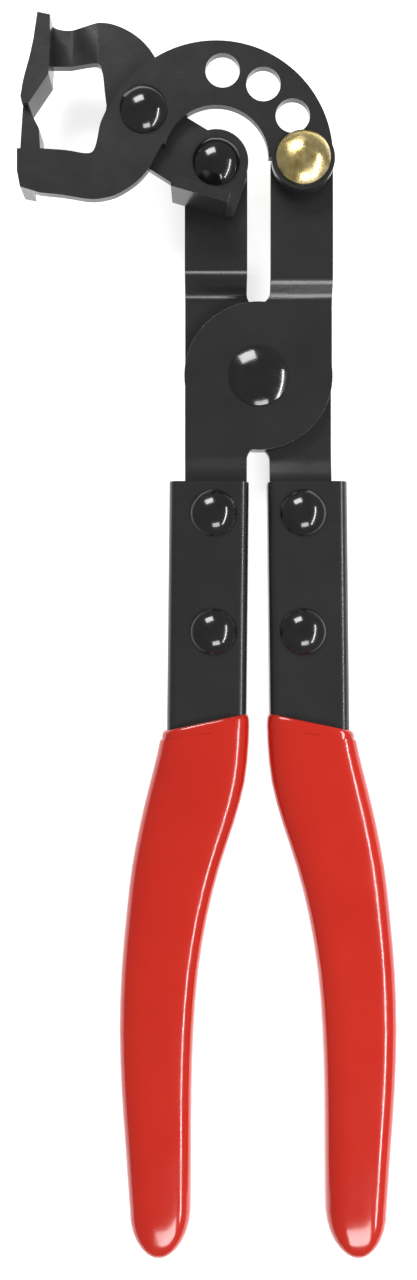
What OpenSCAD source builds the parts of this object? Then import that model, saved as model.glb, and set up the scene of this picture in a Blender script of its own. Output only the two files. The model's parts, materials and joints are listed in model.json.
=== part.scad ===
// Four-position swivel-head compound pincers, lying flat, jaws closed.
// X to the right, Y towards the jaws, Z up. The origin is on the main pivot
// axis, at the flat rear head of the main rivet, which the tool rests on.

/* [Lever plates] */
// Thickness of the lever and jaw plates
plate_t = 2.9; // [2.5:0.1:2.9]
// Radius of the round pivot cheek
cheek_r = 19.9; // [18:0.1:22]
// Half of the slot between the two bars
slot_half = 3.1; // [2.5:0.1:4]
// Width of each bar
bar_w = 16.6; // [15:0.1:17]
// Distance of the eyes from the centre line
eye_x = 11.4; // [11:0.1:12]
// Height of the eyes above the main pivot
eye_y = 55.2; // [54:0.1:56]
// Length of each plate below the main pivot
leg_len = 76; // [72:1:80]

/* [Heights] */
// Underside of the back plate at the main pivot
back_z = 4.5; // [4.5:0.1:5]
// Underside of both plates inside the channels
leg_z = 6.0; // [5.8:0.1:6.2]
// Underside of both bars at the eyes
bar_z = 11.0; // [10.8:0.1:11.2]
// Step from one plate layer to the next
layer = 3.0; // [3:0.05:3.2]

/* [Jaws] */
// Angle of the jaw joint around the left eye
joint_angle = 146.3; // [145:0.1:147]
// Inner radius of the arc
arc_in = 13.7; // [13:0.1:14]
// Outer radius of the arc
arc_out = 30.6; // [30:0.1:31]
// Radius of the holes in the arc
hole_r = 4.5; // [4.4:0.05:4.6]
// Angle between two holes of the arc
hole_pitch = 28.6; // [28:0.1:29]
// Depth of the jaw flanges
flange_depth = 10.9; // [9:0.1:11]
// Height of the stop lip on the upper jaw
lip_h = 11; // [8:0.5:13]

/* [Handles] */
// Outer width of the channels
chan_w = 21.4; // [21:0.1:22]
// Sheet thickness of the channels
chan_t = 2; // [1.8:0.1:2]
// Underside of the channel legs
chan_z = 1.8; // [1.6:0.1:2]
// Radius of the channel's outer bends
chan_r = 2.6; // [2.2:0.1:3]
// Distance of the channel centres from the centre line at the top
chan_x = 13.2; // [13:0.1:13.4]
// Top edge of the channels, below the main pivot
chan_top = 28.4; // [28:0.1:29]
// Outward slant of each channel in degrees
chan_slant = 0.6; // [0.4:0.1:0.8]
// Top edge of the grips, below the main pivot
grip_top = 93; // [92:0.5:94]
// Bottom end of the grips, below the main pivot
grip_end = 237; // [236:0.5:238]
// Thickness of a grip
grip_h = 13; // [12.9:0.1:14]
// Thickness of the grip skin over the channel
skin = 1.6; // [1.5:0.1:2]

/* [Rivets] */
// Radius of the main rivet's head
main_head_r = 8; // [7.5:0.1:9]
// Radius of the jaw rivets' heads
jaw_head_r = 6.2; // [6:0.1:7]
// Radius of the pin's brass head
pin_head_r = 7.1; // [7:0.1:8]
// Radius of the adjuster pin
pin_r = 3.5; // [3.3:0.05:3.5]
// Distance of the channel rivets from the centre line
rivet_x = 12; // [11.8:0.1:12.2]
// Upper and lower channel rivets, below the main pivot
rivet_y = [36.8, 68.7];

/* [Hidden] */
$fn = 64;

gap = layer - plate_t;                 // air between two layers
fit = 0.05;                            // radial clearance of a running fit
front_z = back_z + layer;              // underside of the front plate
tail_z = bar_z + layer;                // underside of the upper jaw
arc_z = tail_z + layer;                // underside of the lower jaw
web_top = leg_z + plate_t + chan_t;    // front face of the channels
eye_r = eye_x * 2;                     // radius of the circle of holes
eye_l = [-eye_x, eye_y];
eye_rt = [eye_x, eye_y];
jaw_j = eye_l + eye_r * [cos(joint_angle), sin(joint_angle)];
shank_r = 4;                           // pivot and jaw rivet shanks
small_shank_r = 3;                     // channel rivet shanks
tall = 60;                             // height of the plan extrusions
leg_notch = 2.3;                       // the leg is narrower in its channel
leg_gap = 0.15;                        // from the notch to the channel's edge
bend_steps = 8;                        // flats that make up one step in a plate

// Stations of the right handle: distance below the pivot, centre, half width.
stations = [[93, 14.2, 11.9], [100, 14.9, 12.5], [110, 16.6, 13.1],
    [120, 19.1, 12.8], [132, 22.2, 12.0], [145, 24.6, 11.1],
    [160, 26.5, 10.5], [176, 27.4, 10.1], [192, 27.4, 9.6],
    [208, 26.9, 9.0], [224, 26.4, 8.4]];

// Smooth curve through the stations (Catmull-Rom), t counted in stations.
function station(i) = stations[max(0, min(len(stations) - 1, i))];
function curve(t) = let(i = floor(t), f = t - i,
    a = station(i - 1), b = station(i), c = station(i + 1), d = station(i + 2))
    0.5 * (2 * b + (c - a) * f + (2 * a - 5 * b + 4 * c - d) * f * f
        + (3 * b - a - 3 * c + d) * f * f * f);
half_steps = 2 * (len(stations) - 1);
function body_rings() = [for (k = [0 : half_steps]) curve(k / 2)];
// Rounded bottom end, as a quarter ellipse.
last = station(len(stations) - 1);
function end_rings(n = 7) = [for (k = [1 : n]) let(a = 88 * k / n)
    [last[0] + (grip_end - last[0]) * sin(a), last[1] + 0.4 * sin(a),
        last[2] * cos(a)]];

// Closed tube of superellipse rings: rings are [y below pivot, x, half width].
module ring_tube(rings, sides = 24, power = 4) {
    function blunt(v) = sign(v) * pow(abs(v), 2 / power);
    n = len(rings);
    pts = [for (r = rings) for (s = [0 : sides - 1])
        let(a = 360 * (s + 0.5) / sides, squeeze = pow(min(1, r[2] / last[2]), 0.35))
        [r[1] + r[2] * blunt(cos(a)), -r[0],
            grip_h / 2 * (1 + squeeze * blunt(sin(a)))]];
    walls = [for (i = [0 : n - 2]) for (s = [0 : sides - 1])
        let(p = i * sides + s, q = i * sides + (s + 1) % sides)
        each [[p, p + sides, q + sides], [p, q + sides, q]]];
    first_cap = [[for (s = [0 : sides - 1]) s]];
    last_cap = [[for (s = [sides - 1 : -1 : 0]) (n - 1) * sides + s]];
    polyhedron(pts, concat(walls, first_cap, last_cap), convexity = 4);
}

// Outline of the channel inside the grip, drawn in by an inset.
module core_outline(inset) {
    rings = [for (r = body_rings()) if (r[0] > grip_top) r];
    polygon(concat(
        [for (r = rings) [r[1] - r[2] + inset, -r[0]]],
        [for (k = [len(rings) - 1 : -1 : 0])
            [rings[k][1] + rings[k][2] - inset, -rings[k][0]]]));
}

// A profile drawn in Y and Z, extruded along X over both sides.
module along_x(pts) {
    translate([-tall, 0, 0]) rotate([90, 0, 90])
        linear_extrude(2 * tall) polygon(pts);
}

// Sheet stepped twice: heights of its three flats and where it bends along Y.
module bent_sheet(low, mid, top, bends, ends) {
    function ease(t) = t * t * (3 - 2 * t);
    function shift(rise, run) = plate_t * tan(atan2(rise, run) / 2);
    function step_pts(y0, y1, z0, z1, dy, dz) = [for (k = [0 : bend_steps])
        let(t = k / bend_steps)
        [y0 + (y1 - y0) * t + dy, z0 + (z1 - z0) * ease(t) + dz]];
    function side(low_shift, up_shift, dz) = concat(
        [[ends[0], low + dz]],
        step_pts(bends[0], bends[1], low, mid, low_shift, dz),
        step_pts(bends[2], bends[3], mid, top, up_shift, dz),
        [[ends[1], top + dz]]);
    rear = side(shift(mid - low, bends[1] - bends[0]),
        shift(top - mid, bends[3] - bends[2]), 0);
    along_x(concat(side(0, 0, plate_t), [for (k = [len(rear) - 1 : -1 : 0]) rear[k]]));
}

// Half of the slot's round root, on the bar's side of the centre line.
module slot_root(y) {
    difference() {
        translate([0, y - 2 * slot_half]) square([slot_half, 2 * slot_half]);
        translate([0, y]) circle(slot_half);
    }
}

// Lever plate with its bar up on the right and its leg down on the left.
module lever(mid, bends, eye_bore) {
    difference() {
        intersection() {
            linear_extrude(tall) {
                circle(cheek_r, $fn = 128);
                translate([slot_half, 0]) square([bar_w, eye_y]);
                slot_root(cheek_r + slot_half - 0.6);
                rotate(180) slot_root(cheek_r + slot_half - 0.6);
                translate(eye_rt) circle(bar_w / 2);
                translate([-slot_half - bar_w, -chan_top + leg_gap])
                    square([bar_w, chan_top]);
                translate([-slot_half - bar_w, -leg_len])
                    square([bar_w - leg_notch, leg_len]);
            }
            bent_sheet(leg_z, mid, bar_z, bends, [-leg_len - 1, eye_y + bar_w]);
        }
        cylinder(h = tall, r = shank_r + fit);
        translate(eye_rt) cylinder(h = tall, r = eye_bore);
        for (y = rivet_y) translate([-rivet_x, -y, 0])
            cylinder(h = tall, r = small_shank_r);
    }
}

module front_lever_plate() {
    color([0.10, 0.10, 0.11])
        lever(front_z, [-27, -20, 19.5, 26], pin_r + fit);
}

module back_lever_plate() {
    color([0.09, 0.09, 0.10]) mirror([1, 0, 0])
        lever(back_z, [-28, -21, 20.5, 28], shank_r);
}

// Shallow dome standing on z = 0.
module dome(r, h) {
    big = (r * r + h * h) / (2 * h);
    rotate_extrude($fn = 96) intersection() {
        translate([0, h - big]) circle(big, $fn = 192);
        square([r, h]);
    }
}

// Rivet: rear head, shank and domed front head.
module rivet(head_r, head_h, from_z, to_z, r, rear_r, rear_h) {
    translate([0, 0, to_z]) dome(head_r, head_h);
    translate([0, 0, from_z - rear_h]) cylinder(h = rear_h, r = rear_r);
    translate([0, 0, from_z - rear_h]) cylinder(h = to_z - from_z + rear_h, r = r);
}

module main_pivot_rivet() {
    washer_t = 1;
    color([0.07, 0.07, 0.08])
        rivet(main_head_r, 2.4, back_z - gap - washer_t, front_z + plate_t,
            shank_r, 7.5, back_z - gap - washer_t);
}

module pivot_washer() {
    color([0.45, 0.45, 0.47]) translate([0, 0, back_z - gap - 1]) difference() {
        cylinder(h = 1, r = 10);
        translate([0, 0, -1]) cylinder(h = 3, r = shank_r + fit);
    }
}

// Channel section, open towards the rear, standing on its centre line.
module channel_section() {
    difference() {
        union() {
            translate([-chan_w / 2, chan_z]) square([chan_w, web_top - chan_r - chan_z]);
            translate([-chan_w / 2 + chan_r, chan_z])
                square([chan_w - 2 * chan_r, web_top - chan_z]);
            for (s = [-1, 1]) translate([s * (chan_w / 2 - chan_r), web_top - chan_r])
                circle(chan_r);
        }
        translate([-chan_w / 2 + chan_t, chan_z - 1])
            square([chan_w - 2 * chan_t, web_top - chan_t - chan_z + 1]);
    }
}

module right_channel_body() {
    overlap = 3;
    difference() {
        union() {
            translate([chan_x, -chan_top, 0]) rotate([90, 0, chan_slant])
                linear_extrude(grip_top - chan_top + overlap) channel_section();
            difference() {
                translate([0, 0, chan_z]) linear_extrude(web_top - chan_z)
                    core_outline(skin + 0.4);
                translate([0, 0, chan_z - 1]) linear_extrude(web_top - chan_t - chan_z + 1)
                    core_outline(skin + 0.4 + chan_t);
                translate([0, -grip_top - overlap - 1, leg_z - 20])
                    cube([tall, overlap + 6, 20 + plate_t]);
            }
        }
        for (y = rivet_y) translate([rivet_x, -y, 0])
            cylinder(h = tall, r = small_shank_r);
    }
}

module right_channel() {
    color([0.08, 0.08, 0.09]) right_channel_body();
}

module left_channel() {
    color([0.08, 0.08, 0.09]) mirror([1, 0, 0]) right_channel_body();
}

module channel_rivet(side, y) {
    color([0.07, 0.07, 0.08]) translate([side * rivet_x, -y, 0])
        rivet(jaw_head_r, 3.2, leg_z, web_top, small_shank_r, 5, 2);
}

module left_upper_rivet() channel_rivet(-1, rivet_y[0]);
module left_lower_rivet() channel_rivet(-1, rivet_y[1]);
module right_upper_rivet() channel_rivet(1, rivet_y[0]);
module right_lower_rivet() channel_rivet(1, rivet_y[1]);

module right_grip_body() {
    ring_tube(concat(body_rings(), end_rings()));
}

module right_grip() {
    color([0.80, 0.14, 0.08]) right_grip_body();
}

module left_grip() {
    color([0.80, 0.14, 0.08]) mirror([1, 0, 0]) right_grip_body();
}

// Smooth curve through a few points of an outline, ends included.
function flow(pts, steps = 4) = concat(
    [for (i = [0 : len(pts) - 2]) for (k = [0 : steps - 1])
        let(f = k / steps, a = pts[max(0, i - 1)], b = pts[i], c = pts[i + 1],
            d = pts[min(len(pts) - 1, i + 2)])
        0.5 * (2 * b + (c - a) * f + (2 * a - 5 * b + 4 * c - d) * f * f
            + (3 * b - a - 3 * c + d) * f * f * f)],
    [pts[len(pts) - 1]]);

// Upper jaw in plan: arm, joint boss, tail and tail end.
module upper_jaw_plan() {
    translate(jaw_j) circle(10.1);
    translate(eye_l) circle(8.5);
    polygon(concat(
        [jaw_j],
        flow([[-40.2, 69.2], [-40.8, 74], [-41.4, 78.8], [-42.8, 81], [-48, 81.3]]),
        [[-56.5, 81.3], [-56.5, 91.9]],
        flow([[-54.6, 91.9], [-53.2, 91.2], [-50, 90.9], [-42.5, 91.7], [-38, 91.1],
            [-33.4, 88.9], [-29.6, 85.6], [-26.6, 81], [-23.4, 74], [-20.5, 67.6]]),
        [[-13.6, 63.4], eye_l, [-3.2, 52.8]],
        flow([[-3.4, 51], [-4.9, 46.2], [-6.6, 41.6]]),
        [[-7.1, 40.7], [-8.6, 41], [-23, 45.2], [-23.4, 49.7]],
        flow([[-28.8, 53.1], [-33.5, 57], [-36.5, 60]])));
}

// The arm of the upper jaw steps back by one layer before its flange.
module stepped_sheet() {
    s = plate_t * tan(atan2(layer, 7) / 2);
    low = tail_z - layer;
    translate([0, 120, 0]) rotate([90, 0, 0]) linear_extrude(120) polygon([
        [-80, low], [-49.5 - s, low], [-42.5 - s, tail_z], [10, tail_z],
        [10, tail_z + plate_t], [-42.5, tail_z + plate_t],
        [-49.5, low + plate_t], [-80, low + plate_t]]);
}

module upper_jaw() {
    low = tail_z - layer;
    color([0.10, 0.10, 0.11]) difference() {
        union() {
            intersection() {
                linear_extrude(tall) upper_jaw_plan();
                stepped_sheet();
            }
            // Chisel flange, bent forwards from the arm's end.
            translate([0, 0, low]) linear_extrude(flange_depth)
                polygon(concat(
                    [[-57.9, 92.4], [-54.6, 91.7], [-54.6, 84], [-55, 76.3],
                        [-60.2, 68.6], [-61.9, 68.6]],
                    flow([[-62.3, 70.5], [-61.5, 75], [-60, 80.5], [-58.9, 85.5]])));
            // Stop lip, bent forwards from the tail's lower edge.
            translate([0, 0, tail_z]) linear_extrude(plate_t + lip_h)
                polygon([[-23, 45.2], [-8.6, 41], [-7.8, 43.7], [-22.7, 48]]);
        }
        translate([eye_l[0], eye_l[1], 0]) cylinder(h = tall, r = shank_r + fit);
        translate([jaw_j[0], jaw_j[1], 0]) cylinder(h = tall, r = shank_r);
    }
}

// Lower jaw in plan: arc about the left eye, end round and jaw arm.
module lower_jaw_plan() {
    difference() {
        union() {
            intersection() {
                translate(eye_l) circle(arc_out, $fn = 180);
                translate(eye_l) polygon([[0, 0], [60, 0], [60, 60], [-60, 60],
                    [-60, 60 * tan(24.5)], [-60, 16], [0, 0]]);
            }
            translate(eye_rt) circle(8.3);
            polygon(concat(
                flow([[-39.9, 68.1], [-41.7, 64], [-42.6, 59.5], [-43.6, 56.9],
                    [-45.6, 56.3], [-50.6, 57.1], [-57.5, 57.6]]),
                [[-63.5, 57.6], [-63.5, 51.8], [-62.7, 47.6]],
                flow([[-57.5, 46], [-51.5, 45.4], [-44.5, 44.3], [-40.2, 44.7],
                    [-36.7, 45.9], [-32.4, 48.7], [-29, 52.4], [-27.2, 55.8],
                    [-24.9, 59.8]]),
                [[-22, 64], [-30, 74]]));
        }
        translate(eye_l) circle(arc_in, $fn = 120);
    }
}

module lower_jaw() {
    color([0.10, 0.10, 0.11]) difference() {
        union() {
            translate([0, 0, arc_z]) linear_extrude(plate_t) lower_jaw_plan();
            // Chisel flange, bent backwards from the arm's end.
            translate([0, 0, arc_z + plate_t - flange_depth])
                linear_extrude(flange_depth)
                polygon([[-62.7, 47.6], [-59.6, 47], [-60, 53], [-57.4, 57.6],
                    [-57.7, 62.8], [-60.6, 68.4], [-61.9, 68.4], [-62.3, 62],
                    [-62.6, 57.6], [-63.5, 57.6], [-63.5, 51.8]]);
        }
        for (k = [0 : 3]) translate([eye_l[0] + eye_r * cos(k * hole_pitch),
            eye_l[1] + eye_r * sin(k * hole_pitch), 0])
            cylinder(h = tall, r = hole_r);
        translate([jaw_j[0], jaw_j[1], 0]) cylinder(h = tall, r = shank_r + fit);
    }
}

module jaw_rivet() {
    color([0.07, 0.07, 0.08]) translate([jaw_j[0], jaw_j[1], 0])
        rivet(jaw_head_r, 3, tail_z, arc_z + plate_t + gap, shank_r, 5.6, 2);
}

module tail_rivet() {
    color([0.07, 0.07, 0.08]) translate([eye_l[0], eye_l[1], 0])
        rivet(jaw_head_r, 3, bar_z, tail_z + plate_t + gap, shank_r, 5.6, 2);
}

// Collar that carries the pin through the layer of the upper jaw.
module pin_boss() {
    color([0.08, 0.08, 0.09]) translate([eye_x, eye_y, bar_z + plate_t])
        difference() {
            cylinder(h = arc_z - gap - bar_z - plate_t, r = 8);
            translate([0, 0, -1]) cylinder(h = 6, r = pin_r + fit);
        }
}

pin_low = bar_z - 4;                       // lower end of the pin
pin_top = arc_z + plate_t + gap;           // underside of the brass head
cross_z = bar_z - 2;                       // axis of the detent bore
cross_r = 1.25;                            // radius of the detent bore

module pin_head() {
    color([0.80, 0.66, 0.28]) translate([eye_x, eye_y, pin_top])
        dome(pin_head_r, 3.4);
}

module pin_shank() {
    color([0.75, 0.62, 0.28]) difference() {
        translate([eye_x, eye_y, pin_low]) cylinder(h = pin_top - pin_low, r = pin_r);
        translate([eye_x - 1.6, eye_y, cross_z]) rotate([0, 90, 0])
            cylinder(h = 2 * pin_r, r = cross_r);
    }
}

module detent_ball() {
    color([0.7, 0.7, 0.72]) translate([eye_x + pin_r - 1.2, eye_y, cross_z])
        sphere(r = 1.2, $fn = 48);
}

// Detent spring, as the sleeve that its coils fill.
module detent_spring() {
    color([0.6, 0.6, 0.62]) translate([eye_x - 1.6, eye_y, cross_z])
        rotate([0, 90, 0]) difference() {
            cylinder(h = 2.7, r = 1.1);
            translate([0, 0, -1]) cylinder(h = 5, r = 0.75);
        }
}

front_lever_plate();
back_lever_plate();
main_pivot_rivet();
pivot_washer();
left_channel();
right_channel();
left_upper_rivet();
left_lower_rivet();
right_upper_rivet();
right_lower_rivet();
left_grip();
right_grip();
upper_jaw();
lower_jaw();
jaw_rivet();
tail_rivet();
pin_boss();
pin_head();
pin_shank();
detent_ball();
detent_spring();
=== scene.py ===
import json
import math

import bmesh
import bpy
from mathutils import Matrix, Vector


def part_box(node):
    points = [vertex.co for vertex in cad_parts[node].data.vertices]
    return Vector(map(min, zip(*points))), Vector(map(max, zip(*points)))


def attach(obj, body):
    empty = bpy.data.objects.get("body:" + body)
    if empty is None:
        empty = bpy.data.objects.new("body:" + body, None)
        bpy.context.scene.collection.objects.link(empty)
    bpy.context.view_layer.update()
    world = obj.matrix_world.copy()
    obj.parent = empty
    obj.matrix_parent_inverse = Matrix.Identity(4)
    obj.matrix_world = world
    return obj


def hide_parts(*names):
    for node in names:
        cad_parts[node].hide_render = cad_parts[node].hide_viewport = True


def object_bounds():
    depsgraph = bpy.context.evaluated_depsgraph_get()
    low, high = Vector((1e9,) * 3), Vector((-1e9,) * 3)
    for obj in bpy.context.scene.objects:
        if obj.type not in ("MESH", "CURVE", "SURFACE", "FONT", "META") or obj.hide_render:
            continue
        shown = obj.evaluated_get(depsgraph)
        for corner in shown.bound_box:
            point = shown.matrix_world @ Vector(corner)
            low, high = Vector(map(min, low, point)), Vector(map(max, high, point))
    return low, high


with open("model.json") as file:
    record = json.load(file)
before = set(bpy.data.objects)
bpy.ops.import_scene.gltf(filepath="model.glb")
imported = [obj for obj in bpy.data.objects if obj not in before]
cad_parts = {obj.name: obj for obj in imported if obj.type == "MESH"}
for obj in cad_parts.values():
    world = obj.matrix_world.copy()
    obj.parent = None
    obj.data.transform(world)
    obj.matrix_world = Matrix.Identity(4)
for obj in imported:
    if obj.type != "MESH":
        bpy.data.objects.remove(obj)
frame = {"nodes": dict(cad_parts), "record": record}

MM = 0.001
cad_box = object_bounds()

# ---------------------------------------------------------------- camera

CAMERA_PLACE = (-0.0134, -0.0709, 0.3854)   # above the tool, which lies on its rest face
CAMERA_LENS = 39.35                         # mm, for a sensor with a 36 mm long side
CAMERA_SENSOR = 36
CAMERA_NEAR = 0.01


def add_camera():
    """Looks straight down, as an unturned Blender camera does."""
    data = bpy.data.cameras.new("camera")
    data.sensor_width = CAMERA_SENSOR
    data.lens = CAMERA_LENS
    data.clip_start = CAMERA_NEAR
    camera = bpy.data.objects.new("camera", data)
    camera.location = CAMERA_PLACE
    bpy.context.scene.collection.objects.link(camera)
    bpy.context.scene.camera = camera


# ---------------------------------------------------------------- material helpers

NOISE_LOW = 0.3         # nearly all of a noise texture lies between these two values
NOISE_HIGH = 0.7
NOISE_ROUGHNESS = 0.55


class Nodes:
    """A material's node tree, with short calls for the nodes used here."""

    def __init__(self, name):
        self.material = bpy.data.materials.new(name)
        self.material.use_nodes = True
        self.tree = self.material.node_tree
        self.shader = self.tree.nodes["Principled BSDF"]
        self.place = self.add("ShaderNodeTexCoord").outputs["Object"]

    def add(self, kind, **inputs):
        node = self.tree.nodes.new(kind)
        for key, value in inputs.items():
            node.inputs[key].default_value = value
        return node

    def link(self, source, target):
        self.tree.links.new(source, target)

    def noise(self, scale, detail, stretch=None):
        """Noise in the object's own space: scale is about the number of cells per metre."""
        node = self.add("ShaderNodeTexNoise", Scale=scale, Detail=detail, Roughness=NOISE_ROUGHNESS)
        source = self.place
        if stretch:
            mapping = self.add("ShaderNodeMapping")
            mapping.inputs["Scale"].default_value = stretch
            self.link(source, mapping.inputs["Vector"])
            source = mapping.outputs["Vector"]
        self.link(source, node.inputs["Vector"])
        return node.outputs["Fac"]

    def ramp(self, source, stops):
        node = self.add("ShaderNodeValToRGB")
        elements = node.color_ramp.elements
        while len(elements) < len(stops):
            elements.new(0.5)
        for element, (place, colour) in zip(elements, stops):
            element.position = place
            element.color = (*colour, 1)
        self.link(source, node.inputs["Fac"])
        return node.outputs["Color"]

    def cloudy(self, source, first, second):
        """A colour that drifts between two colours as a noise does."""
        return self.ramp(source, [(NOISE_LOW, first), (NOISE_HIGH, second)])

    def spread(self, source, low, high):
        """A noise stretched to run from low to high."""
        node = self.add("ShaderNodeMapRange")
        node.inputs["From Min"].default_value = NOISE_LOW
        node.inputs["From Max"].default_value = NOISE_HIGH
        node.inputs["To Min"].default_value = low
        node.inputs["To Max"].default_value = high
        self.link(source, node.inputs["Value"])
        return node.outputs["Result"]

    def mix(self, factor, first, second):
        node = self.tree.nodes.new("ShaderNodeMix")
        node.data_type = "RGBA"
        self.link(factor, node.inputs["Factor"])
        for name, colour in (("A", first), ("B", second)):
            target = [s for s in node.inputs if s.name == name and s.type == "RGBA"][0]
            target.default_value = (*colour, 1)
        return [s for s in node.outputs if s.type == "RGBA"][0]

    def bump(self, source, strength, distance, below=None):
        """A bump in metres of height, laid over another one if below is given."""
        node = self.add("ShaderNodeBump", Strength=strength, Distance=distance)
        self.link(source, node.inputs["Height"])
        if below is not None:
            self.link(below, node.inputs["Normal"])
        return node.outputs["Normal"]

    def finish(self, colour, roughness, normal=None, metallic=0.0, coat=0.0, coat_rough=0.1):
        self.link(colour, self.shader.inputs["Base Color"])
        self.link(roughness, self.shader.inputs["Roughness"])
        self.shader.inputs["Metallic"].default_value = metallic
        self.shader.inputs["Coat Weight"].default_value = coat
        self.shader.inputs["Coat Roughness"].default_value = coat_rough
        if normal is not None:
            self.link(normal, self.shader.inputs["Normal"])
        return self.material


# ---------------------------------------------------------------- materials

def black_enamel():
    """Stoved enamel on stamped plate: slight orange peel and a cloudy gloss."""
    n = Nodes("black_enamel")
    colour = n.cloudy(n.noise(45, detail=4), (0.013, 0.013, 0.0135), (0.018, 0.0178, 0.0175))
    rough = n.spread(n.noise(120, detail=5), 0.25, 0.33)
    peel = n.bump(n.noise(900, detail=2), 0.12, 0.15 * MM)
    waves = n.bump(n.noise(70, detail=2), 0.10, 0.6 * MM, below=peel)
    return n.finish(colour, rough, waves, coat=0.25, coat_rough=0.12)


def worn_edge():
    """The broken edges of the plates: thinner enamel, rubbed through to grey in places."""
    n = Nodes("worn_edge")
    rubbed = n.spread(n.noise(320, detail=5), 0.0, 1.0)
    colour = n.mix(rubbed, (0.020, 0.020, 0.021), (0.11, 0.11, 0.115))
    rough = n.spread(n.noise(500, detail=4), 0.20, 0.38)
    grain = n.bump(n.noise(1200, detail=3), 0.2, 0.1 * MM)
    return n.finish(colour, rough, grain, metallic=0.35)


def black_rivets():
    """Gloss black rivet heads, pressed smooth, with faint hammer marks."""
    n = Nodes("black_rivets")
    colour = n.cloudy(n.noise(160, detail=3), (0.006, 0.006, 0.007), (0.011, 0.011, 0.012))
    rough = n.spread(n.noise(300, detail=4), 0.10, 0.20)
    marks = n.bump(n.noise(240, detail=2), 0.10, 0.3 * MM)
    return n.finish(colour, rough, marks, coat=0.4, coat_rough=0.06)


def bare_steel():
    """Unpainted steel with a fine, uneven grind."""
    n = Nodes("bare_steel")
    colour = n.cloudy(n.noise(200, detail=4), (0.42, 0.42, 0.43), (0.58, 0.58, 0.60))
    rough = n.spread(n.noise(900, detail=4), 0.25, 0.42)
    grain = n.bump(n.noise(1500, detail=2), 0.1, 0.1 * MM)
    return n.finish(colour, rough, grain, metallic=1.0)


def red_grip():
    """Dipped vinyl: deep red, glossy, with slow thickness waves and a fine skin."""
    n = Nodes("red_grip")
    colour = n.cloudy(n.noise(22, detail=3), (0.50, 0.013, 0.004), (0.56, 0.018, 0.006))
    rough = n.spread(n.noise(70, detail=4), 0.13, 0.20)
    fine = n.bump(n.noise(1400, detail=2), 0.05, 0.1 * MM)
    waves = n.bump(n.noise(55, detail=2, stretch=(1, 0.35, 1)), 0.10, 0.8 * MM, below=fine)
    n.shader.inputs["Subsurface Weight"].default_value = 0.05
    n.shader.inputs["Subsurface Radius"].default_value = (0.003, 0.0006, 0.0003)
    return n.finish(colour, rough, waves, coat=0.35, coat_rough=0.08)


def brass_head():
    """Yellow-plated head: polished, with a faint tarnish and tiny pits."""
    n = Nodes("brass_head")
    tarnish = n.ramp(n.noise(190, detail=4), [(0.25, (0.62, 0.44, 0.15)), (0.45, (0.80, 0.64, 0.27)),
                                              (0.60, (0.84, 0.70, 0.36)), (0.75, (0.72, 0.52, 0.34))])
    rough = n.spread(n.noise(380, detail=5), 0.14, 0.34)
    pits = n.bump(n.noise(1100, detail=4), 0.22, 0.18 * MM)
    return n.finish(tarnish, rough, pits, metallic=1.0)


def floor_paper():
    """White paper that glows a little, so that it stays near white under soft light."""
    n = Nodes("floor_paper")
    colour = n.cloudy(n.noise(9, detail=2), (0.88, 0.88, 0.88), (0.91, 0.91, 0.91))
    n.shader.inputs["Emission Color"].default_value = (1, 1, 1, 1)
    n.shader.inputs["Emission Strength"].default_value = 0.70
    return n.finish(colour, n.spread(n.noise(60, detail=2), 0.75, 0.9))


MATERIALS = {make.__name__: make() for make in (black_enamel, worn_edge, black_rivets, bare_steel,
                                                red_grip, brass_head)}


# ---------------------------------------------------------------- piece helpers

SLOTS = {s["node"]: s["material_slot"] for s in frame["record"]["subparts"]}
BODY_OF = {n: b for b, nodes in frame["record"]["behaviour"]["bodies"].items() for n in nodes}

MERGE_WITHIN = 0.004 * MM   # CAD corners closer than this are one corner
FLAT_WITHIN = 1.0           # degrees: CAD facets flatter than this become one face
BREAK_FROM = 24             # degrees: edges sharper than this are broken
BREAK_SEGMENTS = 3
FLATS_WEIGHT = 100          # shading follows the large flat faces as far as it can


def turn(k, steps):
    """The angle of step k on a full circle of so many steps."""
    return 2 * math.pi * k / steps


def new_piece(node, mesh):
    piece = bpy.data.objects.new(node + "_finished", mesh)
    bpy.context.scene.collection.objects.link(piece)
    return piece


def dress(piece, node):
    """Gives a new piece its material and its body, and hides the CAD node that it stands for."""
    if not piece.data.materials:
        piece.data.materials.append(MATERIALS[SLOTS[node]])
    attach(piece, BODY_OF[node])
    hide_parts(node)


def apply_modifiers(piece):
    bpy.context.view_layer.update()
    graph = bpy.context.evaluated_depsgraph_get()
    mesh = bpy.data.meshes.new_from_object(piece.evaluated_get(graph))
    piece.modifiers.clear()
    piece.data = mesh


def rounded_copy(node, width):
    """The node's own shape with its sharp edges broken, as stamped and enamelled plate has."""
    bm = bmesh.new()
    bm.from_mesh(frame["nodes"][node].data)
    bmesh.ops.remove_doubles(bm, verts=bm.verts, dist=MERGE_WITHIN)
    bmesh.ops.dissolve_limit(bm, angle_limit=math.radians(FLAT_WITHIN), verts=bm.verts, edges=bm.edges)
    mesh = bpy.data.meshes.new(node + "_finished")
    bm.to_mesh(mesh)
    bm.free()
    mesh.shade_smooth()
    piece = new_piece(node, mesh)
    bevel = piece.modifiers.new("edges", "BEVEL")
    bevel.width = width
    bevel.segments = BREAK_SEGMENTS
    bevel.limit_method = "ANGLE"
    bevel.angle_limit = math.radians(BREAK_FROM)
    bevel.use_clamp_overlap = True
    flats = piece.modifiers.new("flats", "WEIGHTED_NORMAL")
    flats.weight = FLATS_WEIGHT
    flats.keep_sharp = True
    if SLOTS[node] == "black_enamel":
        for finish in ("black_enamel", "worn_edge"):
            piece.data.materials.append(MATERIALS[finish])
        bevel.material = 1      # the broken edges take the second of the two
    apply_modifiers(piece)
    dress(piece, node)


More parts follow.
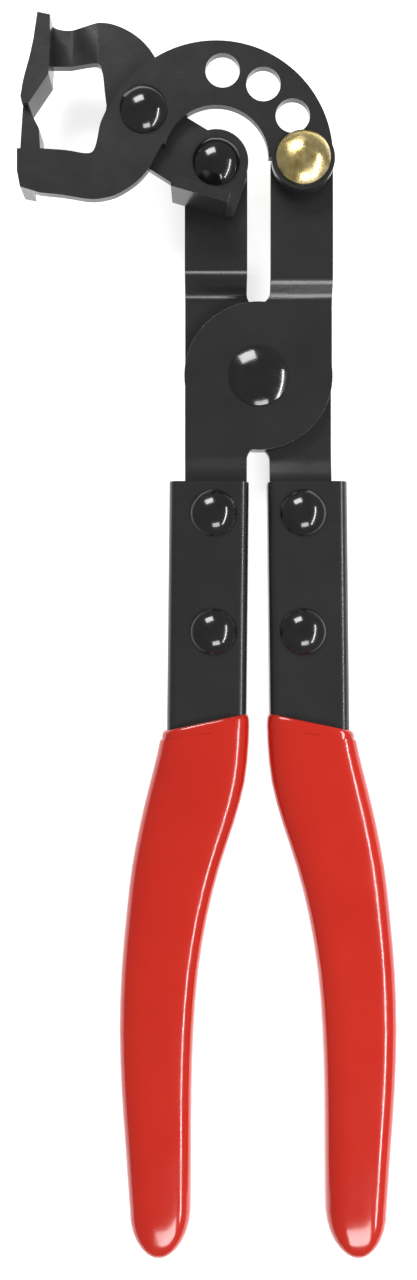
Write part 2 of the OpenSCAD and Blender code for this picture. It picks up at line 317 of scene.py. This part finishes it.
def smooth_by_angle(mesh, degrees):
    """Shades the mesh smooth, but for edges that turn by more than so many degrees."""
    mesh.shade_smooth()
    bm = bmesh.new()
    bm.from_mesh(mesh)
    for edge in bm.edges:
        edge.smooth = edge.calc_face_angle(0.0) < math.radians(degrees)
    bm.to_mesh(mesh)
    bm.free()


def ringed_piece(node, rings, crease, capped):
    """A piece skinned over rings of points. A ring of one point is a tip."""
    bm = bmesh.new()
    made = [[bm.verts.new(point) for point in ring] for ring in rings]
    for first, second in zip(made, made[1:]):
        count = max(len(first), len(second))
        for k in range(count):
            j = (k + 1) % count
            corners = (first[k % len(first)], first[j % len(first)],
                       second[j % len(second)], second[k % len(second)])
            bm.faces.new(list(dict.fromkeys(corners)))
    if capped:
        bm.faces.new(list(reversed(made[0])))
        bm.faces.new(made[-1])
    bmesh.ops.recalc_face_normals(bm, faces=bm.faces)
    mesh = bpy.data.meshes.new(node + "_finished")
    bm.to_mesh(mesh)
    bm.free()
    smooth_by_angle(mesh, crease)
    dress(new_piece(node, mesh), node)


# ---------------------------------------------------------------- turned pieces

LATHE_STEPS = 96
LATHE_CREASE = 40       # degrees
DOME_STEPS = 18
RIVET_RIM = 0.35 * MM
HEAD_RIM = 0.5 * MM
REAR_EDGE = 0.5 * MM    # width of the rear head's broken edge
REAR_CORNER = 0.3       # how far in the middle of that edge lies, as a share of its width

# A dome's rolled rim: inset from its radius and rise above its base, as shares of the rim's height.
RIM_CURVE = ((0.7, 0.0), (0.15, 0.2), (0.0, 1.0))

MAIN_RIVET = {"rear_h": 3.4 * MM, "dome_h": 2.4 * MM, "shank_r": 4.0 * MM, "rear_r": 7.5 * MM}
CHANNEL_RIVET = {"rear_h": 2.0 * MM, "dome_h": 3.2 * MM, "shank_r": 3.0 * MM, "rear_r": 5.0 * MM}
JAW_RIVET = {"rear_h": 2.0 * MM, "dome_h": 3.0 * MM, "shank_r": 4.0 * MM, "rear_r": 5.6 * MM}


def lathe(node, profile):
    """A turned piece on its node's axis: profile is (radius, height), from the rear tip to the crown."""
    low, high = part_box(node)
    middle = (low + high) / 2
    rings = []
    for radius, height in profile:
        steps = LATHE_STEPS if radius > 0 else 1
        rings.append([(middle.x + radius * math.cos(turn(k, steps)),
                       middle.y + radius * math.sin(turn(k, steps)), height) for k in range(steps)])
    ringed_piece(node, rings, LATHE_CREASE, capped=False)


def dome_profile(radius, base, height, rim):
    """A shallow pressed dome with a rolled rim, from its underside to its crown."""
    ball = (radius ** 2 + (height - rim) ** 2) / (2 * (height - rim))
    points = [(radius - rim * inset, base + rim * rise) for inset, rise in RIM_CURVE]
    start = math.asin(min(1.0, radius / ball))
    for k in range(1, DOME_STEPS + 1):
        angle = start * (1 - k / DOME_STEPS)
        points.append((ball * math.sin(angle), base + height - ball + ball * math.cos(angle)))
    return points


def finished_rivet(node, rear_h, dome_h, shank_r, rear_r):
    """A rivet with a dome in front, a shank, and a rear head with a broken edge."""
    low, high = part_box(node)
    corner = REAR_EDGE * REAR_CORNER
    profile = [(0, low.z), (rear_r - REAR_EDGE, low.z), (rear_r - corner, low.z + corner),
               (rear_r, low.z + REAR_EDGE), (rear_r, low.z + rear_h), (shank_r, low.z + rear_h),
               (shank_r, high.z - dome_h)]
    profile += dome_profile((high.x - low.x) / 2, high.z - dome_h, dome_h, RIVET_RIM)
    lathe(node, profile)


def finished_pin_head(node):
    low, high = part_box(node)
    lathe(node, [(0, low.z)] + dome_profile((high.x - low.x) / 2, low.z, high.z - low.z, HEAD_RIM))


# ---------------------------------------------------------------- grips

GRIP_SIDES = 64
GRIP_CREASE = 60        # degrees
GRIP_POWER = 3.1        # section: 2 is an ellipse, and a higher power is squarer
GRIP_SLANT = 2.3 * MM   # the upper edge is this much higher inside, and this much lower outside
GRIP_FADE = 26 * MM     # the slant dies out over this length

# The rolled upper edge: distance below the top, and the section's size there as a share of the CAD's.
GRIP_LIP = ((0.0, 0.925), (0.25 * MM, 0.955), (0.8 * MM, 0.982), (1.6 * MM, 0.996), (3.0 * MM, 1.0))


def grip_rings(node):
    """Place, centre, half width and half height of the CAD grip at each of its rings, from the top."""
    rows = {}
    for vertex in frame["nodes"][node].data.vertices:
        rows.setdefault(round(vertex.co.y, 5), []).append(vertex.co)
    found = []
    for y in sorted(rows, reverse=True):
        xs = [p.x for p in rows[y]]
        zs = [p.z for p in rows[y]]
        found.append((y, (min(xs) + max(xs)) / 2, (max(xs) - min(xs)) / 2, (max(zs) - min(zs)) / 2))
    return found


def rounded_square(angle):
    """A point on the grip section's outline, which runs from -1 to 1 each way."""
    c, s = math.cos(angle), math.sin(angle)
    return math.copysign(abs(c) ** (2 / GRIP_POWER), c), math.copysign(abs(s) ** (2 / GRIP_POWER), s)


def dipped_grip(node):
    """Dipped vinyl handle: rounded section, slanted upper edge with a soft rolled lip."""
    side = 1 if node.startswith("right") else -1
    low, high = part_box(node)
    middle = (low.z + high.z) / 2
    top, *lower = grip_rings(node)
    top_y, top_x, top_half, top_tall = top
    outline = [rounded_square(turn(k + 0.5, GRIP_SIDES)) for k in range(GRIP_SIDES)]
    loops = [(top_y - drop, top_x, top_half * share, top_tall * share) for drop, share in GRIP_LIP]
    rings = []
    for y, x, half, tall in loops + lower:
        slant = -side * GRIP_SLANT * max(0.0, 1 - (top_y - y) / GRIP_FADE)
        rings.append([(x + half * u, y + slant * u, middle + tall * v) for u, v in outline])
    ringed_piece(node, rings, GRIP_CREASE, capped=True)


# ---------------------------------------------------------------- detent spring

SPRING_WIRE = 0.17 * MM     # radius
SPRING_TURNS = 4
SPRING_STEPS = 20           # rings to a turn
SPRING_SIDES = 8
SPRING_CREASE = 180         # degrees, so smooth all over


def coil_spring(node):
    """The detent spring as a coil along the pin's cross bore."""
    low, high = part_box(node)
    middle = (low + high) / 2
    radius = (high.y - low.y) / 2 - SPRING_WIRE
    length = high.x - low.x - 2 * SPRING_WIRE
    last = SPRING_TURNS * SPRING_STEPS
    rings = []
    for i in range(last + 1):
        along = turn(i, SPRING_STEPS)
        x = low.x + SPRING_WIRE + length * i / last
        ring = []
        for k in range(SPRING_SIDES):
            around = turn(k, SPRING_SIDES)
            r = radius + SPRING_WIRE * math.cos(around)
            ring.append((x + SPRING_WIRE * math.sin(around), middle.y + r * math.cos(along),
                         middle.z + r * math.sin(along)))
        rings.append(ring)
    ringed_piece(node, rings, SPRING_CREASE, capped=True)


# ---------------------------------------------------------------- studio

FLOOR_SIZE = 40
FLOOR_GAP = 0.2 * MM        # the floor lies this far below the rest face
WORLD_LIGHT = 0.26
LIT_POINT = (0, -0.07, 0)   # all lights point at the middle of the tool


def add_floor():
    bpy.ops.mesh.primitive_plane_add(size=FLOOR_SIZE, location=(0, 0, cad_box[0][2] - FLOOR_GAP))
    floor = bpy.context.object
    floor.name = "floor"
    floor.data.materials.append(floor_paper())


def area_light(name, place, size, power):
    data = bpy.data.lights.new(name, "AREA")
    data.shape = "RECTANGLE"
    data.size, data.size_y = size
    data.energy = power
    light = bpy.data.objects.new(name, data)
    light.location = place
    light.rotation_euler = (Vector(LIT_POINT) - Vector(place)).to_track_quat("-Z", "Y").to_euler()
    bpy.context.scene.collection.objects.link(light)


def add_world():
    world = bpy.data.worlds.new("studio")
    world.use_nodes = True
    background = world.node_tree.nodes["Background"]
    background.inputs["Color"].default_value = (1, 1, 1, 1)
    background.inputs["Strength"].default_value = WORLD_LIGHT
    bpy.context.scene.world = world
    bpy.context.scene.view_settings.view_transform = "Standard"


def add_lights():
    area_light("key", place=(-0.30, 0.75, 0.70), size=(0.5, 0.35), power=7)
    area_light("side", place=(0.50, -0.16, 0.48), size=(0.85, 0.035), power=3)
    area_light("front", place=(0.15, -0.80, 0.75), size=(0.45, 0.28), power=4)


# ---------------------------------------------------------------- build

PLATE_BREAK = 0.32 * MM     # how wide the edges of each kind of piece are broken
CHANNEL_BREAK = 0.28 * MM
COLLAR_BREAK = 0.3 * MM
SHANK_BREAK = 0.25 * MM

add_camera()
add_floor()
add_world()
add_lights()

for plate in ("front_lever_plate", "back_lever_plate", "upper_jaw", "lower_jaw"):
    rounded_copy(plate, PLATE_BREAK)
for channel in ("left_channel", "right_channel"):
    rounded_copy(channel, CHANNEL_BREAK)
for collar in ("pin_boss", "pivot_washer"):
    rounded_copy(collar, COLLAR_BREAK)
rounded_copy("pin_shank", SHANK_BREAK)

finished_rivet("main_pivot_rivet", **MAIN_RIVET)
for rivet in ("left_upper_rivet", "left_lower_rivet", "right_upper_rivet", "right_lower_rivet"):
    finished_rivet(rivet, **CHANNEL_RIVET)
for rivet in ("jaw_rivet", "tail_rivet"):
    finished_rivet(rivet, **JAW_RIVET)
finished_pin_head("pin_head")

dipped_grip("left_grip")
dipped_grip("right_grip")
coil_spring("detent_spring")

detent_ball = frame["nodes"]["detent_ball"]
detent_ball.data.materials.clear()
detent_ball.data.materials.append(MATERIALS["bare_steel"])
